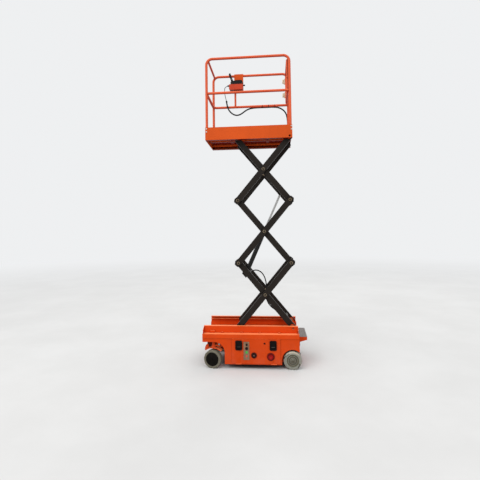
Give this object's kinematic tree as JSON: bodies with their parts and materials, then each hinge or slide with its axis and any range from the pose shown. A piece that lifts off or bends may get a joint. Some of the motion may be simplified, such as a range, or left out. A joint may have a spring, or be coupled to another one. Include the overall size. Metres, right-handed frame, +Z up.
{
  "type": "self-propelled scissor lift",
  "caption": "Compact self-propelled scissor lift with a caged platform, raised on a stack of crossed arms over a wheeled chassis.",
  "frame": {"origin": "on the ground, under the middle of the outer box of the whole machine as it stands", "axes": "+X to the entry step at the rear, -X to the steered front wheels, -Y the side with the ground controls, +Z up"},
  "size_m": [1.327, 0.8153, 4.042],
  "materials": {
    "orange_paint": "semi-gloss orange paint, scuffed at the edges",
    "zinc": "yellowish zinc plate",
    "tread_plate": "checkered plate",
    "steel": "bare steel",
    "black_plastic": "moulded black plastic",
    "silver_plate": "brushed plate",
    "red_plastic": "red plastic",
    "tyre_rubber": "solid non-marking grey-beige rubber, worn",
    "hub_black": "black paint",
    "hub_grey": "grey paint, dirty",
    "arm_paint": "satin dark olive-black paint",
    "cable_black": "black sheath",
    "black_paint": "black paint",
    "chrome": "hard chrome",
    "box_paint": "red-orange paint",
    "cable_grey": "grey sheath"
  },
  "bodies": {
    "chassis": {"side_panels": "orange_paint", "underframe": "orange_paint", "deck_tray": "orange_paint", "roller_rails": "orange_paint", "base_pivot_lugs": "orange_paint", "base_pivot_pins": "zinc", "rear_step": "orange_paint", "step_tread": "tread_plate", "rear_axle_stubs": "steel", "power_packs": "black_plastic"},
    "door_near": {"door_near": "orange_paint", "door_near_latches": "black_plastic", "control_plate": "silver_plate", "ground_switches": "black_plastic", "stop_button": "red_plastic"},
    "door_far": {"door_far": "orange_paint", "door_far_latches": "black_plastic"},
    "knuckle_near": {"knuckle_near": "orange_paint"},
    "knuckle_far": {"knuckle_far": "orange_paint"},
    "tie_rod": {"tie_rod": "steel"},
    "wheel_front_near": {"tyre_front_near": "tyre_rubber", "hub_front_near": "hub_black"},
    "wheel_front_far": {"tyre_front_far": "tyre_rubber", "hub_front_far": "hub_black"},
    "wheel_rear_near": {"tyre_rear_near": "tyre_rubber", "hub_rear_near": "hub_grey"},
    "wheel_rear_far": {"tyre_rear_far": "tyre_rubber", "hub_rear_far": "hub_grey"},
    "inner_1": {"inner_arms_1": "arm_paint", "pivot_pins_1": "zinc", "barrel_lugs": "arm_paint", "hose_unions": "steel", "hydraulic_hose": "cable_black"},
    "outer_1": {"outer_arms_1": "arm_paint", "base_rollers": "black_plastic"},
    "inner_2": {"inner_arms_2": "arm_paint", "pivot_pins_2": "zinc"},
    "outer_2": {"outer_arms_2": "arm_paint"},
    "inner_3": {"inner_arms_3": "arm_paint", "pivot_pins_3": "zinc", "top_rollers": "black_plastic", "rod_lugs": "arm_paint"},
    "outer_3": {"outer_arms_3": "arm_paint"},
    "barrel": {"cylinder_barrel": "black_paint"},
    "rod": {"cylinder_rod": "chrome"},
    "platform": {"platform_frame": "orange_paint", "platform_deck": "tread_plate", "platform_pins": "black_paint", "guardrail_near": "orange_paint", "guardrail_far": "orange_paint", "guardrail_front": "orange_paint", "gate_hinges": "zinc", "control_box": "box_paint", "control_bracket": "orange_paint", "control_head": "black_plastic", "cable_ties": "black_plastic", "box_cable": "cable_grey", "rail_cable": "cable_black"},
    "gate": {"gate": "orange_paint"}
  },
  "joints": [
    {"name": "steer_near", "type": "hinge", "parent": "chassis", "child": "knuckle_near", "pos_m": [-0.5275, -0.31, 0.29], "axis": [0, 0, 1], "range_deg": [-28, 52]},
    {"name": "steer_far", "type": "hinge", "parent": "chassis", "child": "knuckle_far", "pos_m": [-0.5275, 0.31, 0.29], "axis": [0, 0, 1], "range_deg": [-28, 52]},
    {"name": "tie_rod_turn", "type": "hinge", "parent": "knuckle_near", "child": "tie_rod", "pos_m": [-0.45414, -0.32559, 0.28], "axis": [0, 0, 1], "range_deg": [-52, 28]},
    {"name": "front_wheel_near_roll", "type": "hinge", "parent": "knuckle_near", "child": "wheel_front_near", "pos_m": [-0.53374, -0.33934, 0.112], "axis": [0.2079, 0.9781, 0], "continuous": true},
    {"name": "front_wheel_far_roll", "type": "hinge", "parent": "knuckle_far", "child": "wheel_front_far", "pos_m": [-0.52126, 0.33934, 0.112], "axis": [0.2079, 0.9781, 0], "continuous": true},
    {"name": "rear_wheel_near_roll", "type": "hinge", "parent": "chassis", "child": "wheel_rear_near", "pos_m": [0.4705, -0.338, 0.112], "axis": [0, 1, 0], "continuous": true},
    {"name": "rear_wheel_far_roll", "type": "hinge", "parent": "chassis", "child": "wheel_rear_far", "pos_m": [0.4705, 0.338, 0.112], "axis": [0, 1, 0], "continuous": true},
    {"name": "door_near_hinge", "type": "hinge", "parent": "chassis", "child": "door_near", "pos_m": [0.016, -0.3805, 0.062], "axis": [1, 0, 0], "range_deg": [0, 90]},
    {"name": "door_far_hinge", "type": "hinge", "parent": "chassis", "child": "door_far", "pos_m": [0.016, 0.3805, 0.062], "axis": [-1, 0, 0], "range_deg": [0, 90]},
    {"name": "lift", "type": "hinge", "parent": "chassis", "child": "inner_1", "pos_m": [0.4805, 0, 0.494], "axis": [0, 1, 0], "range_deg": [-45.4, 0]},
    {"name": "cross_1", "type": "hinge", "parent": "inner_1", "child": "outer_1", "pos_m": [0.1389, 0, 0.9025], "axis": [0, 1, 0], "range_deg": [0, 90.8]},
    {"name": "knee_1", "type": "hinge", "parent": "outer_1", "child": "inner_2", "pos_m": [0.4805, 0, 1.311], "axis": [0, 1, 0], "range_deg": [-90.8, 0]},
    {"name": "cross_2", "type": "hinge", "parent": "inner_2", "child": "outer_2", "pos_m": [0.1389, 0, 1.7195], "axis": [0, 1, 0], "range_deg": [0, 90.8]},
    {"name": "knee_2", "type": "hinge", "parent": "outer_2", "child": "inner_3", "pos_m": [0.4805, 0, 2.128], "axis": [0, 1, 0], "range_deg": [-90.8, 0]},
    {"name": "cross_3", "type": "hinge", "parent": "inner_3", "child": "outer_3", "pos_m": [0.1389, 0, 2.5365], "axis": [0, 1, 0], "range_deg": [0, 90.8]},
    {"name": "platform_pivot", "type": "hinge", "parent": "outer_3", "child": "platform", "pos_m": [0.4805, 0, 2.945], "axis": [0, 1, 0], "range_deg": [-45.4, 0]},
    {"name": "barrel_pivot", "type": "hinge", "parent": "inner_1", "child": "barrel", "pos_m": [-0.1192, 0, 1.15659], "axis": [0, 1, 0], "range_deg": [0, 102.17]},
    {"name": "rod_slide", "type": "slide", "parent": "barrel", "child": "rod", "axis": [0.4077, 0, 0.9131], "range_m": [-0.4262, 0]},
    {"name": "gate_hinge", "type": "hinge", "parent": "platform", "child": "gate", "pos_m": [0.4665, 0.286, 3.8], "axis": [0, 0, 1], "range_deg": [-70, 0], "stiffness_Nm_per_rad": 2, "springref_deg": 11.46}
  ],
  "couplings": [
    {"joint": "cross_1", "follows": "lift", "ratio": -2},
    {"joint": "knee_1", "follows": "lift", "ratio": 2},
    {"joint": "cross_2", "follows": "lift", "ratio": -2},
    {"joint": "knee_2", "follows": "lift", "ratio": 2},
    {"joint": "cross_3", "follows": "lift", "ratio": -2},
    {"joint": "platform_pivot", "follows": "lift", "ratio": 1},
    {"joint": "barrel_pivot", "follows": "lift", "ratio": -2.2505},
    {"joint": "rod_slide", "follows": "lift", "m_per_rad": 0.53726},
    {"joint": "steer_far", "follows": "steer_near", "ratio": 1},
    {"joint": "tie_rod_turn", "follows": "steer_near", "ratio": -1}
  ]
}
